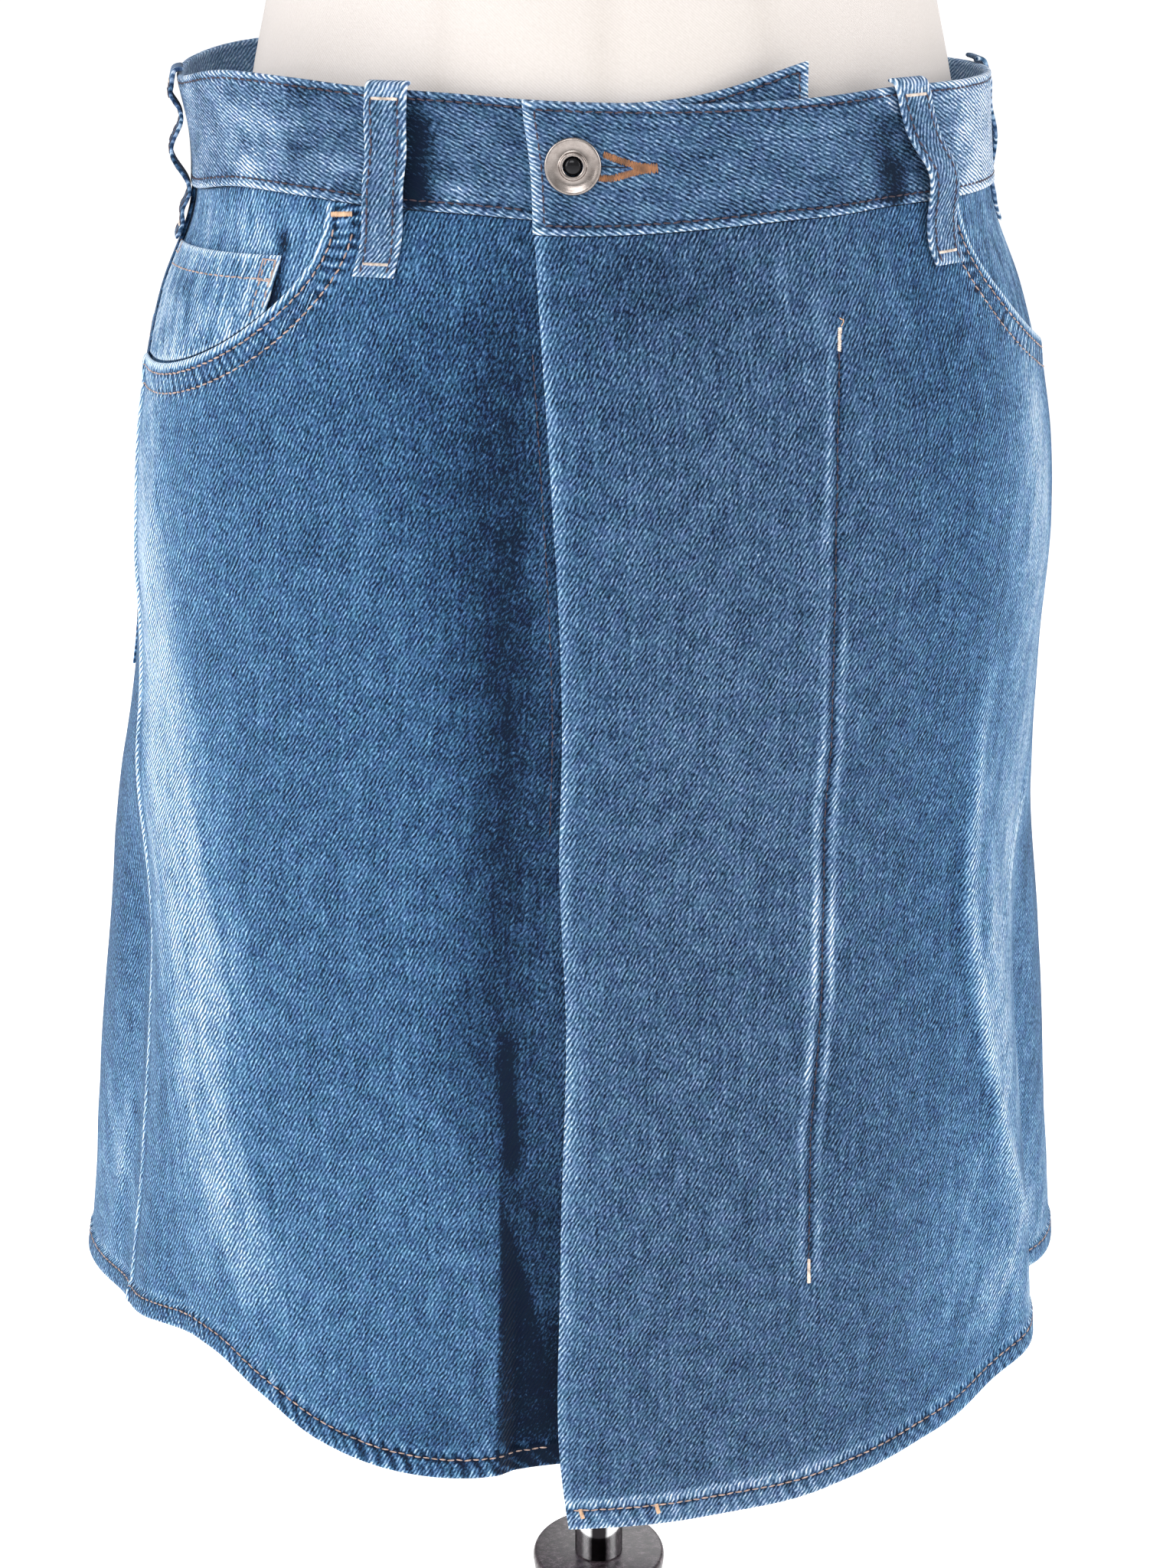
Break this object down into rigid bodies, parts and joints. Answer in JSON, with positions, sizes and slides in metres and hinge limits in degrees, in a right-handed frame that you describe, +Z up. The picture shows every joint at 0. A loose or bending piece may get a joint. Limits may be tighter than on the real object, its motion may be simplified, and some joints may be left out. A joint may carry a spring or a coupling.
{
  "type": "denim skirt on dress form",
  "caption": "Wrap-front A-line denim skirt with scooped pockets and belt loops, hanging hollow on a limbless dress form with a pole, turned post and round base.",
  "frame": {"origin": "on the floor under the pole, at the centre of the round base's underside", "axes": "+Z up along the pole; the skirt's front, with its button, faces -Y; +X is to the right as one looks at the front"},
  "size_m": [0.468, 0.468, 1.53],
  "materials": {
    "denim": "washed mid-blue twill denim",
    "button_metal": "brushed nickel",
    "form_cloth": "cream cotton cover",
    "chrome": "polished",
    "dark_wood": "dark stained, satin varnish"
  },
  "bodies": {
    "root": {"front_under": "denim", "front_over": "denim", "back_left": "denim", "back_right": "denim", "waistband_under": "denim", "waistband_over": "denim", "pocket_facing_left": "denim", "pocket_facing_right": "denim", "coin_pocket": "denim", "back_pocket_left": "denim", "back_pocket_right": "denim", "belt_loop_front_left": "denim", "belt_loop_front_right": "denim", "belt_loop_side_left": "denim", "belt_loop_side_right": "denim", "belt_loop_back": "denim", "button_ring": "button_metal", "button_stud": "button_metal", "form_body": "form_cloth", "stand_pole": "chrome", "stand_post": "dark_wood", "stand_base": "dark_wood"}
  },
  "joints": []
}
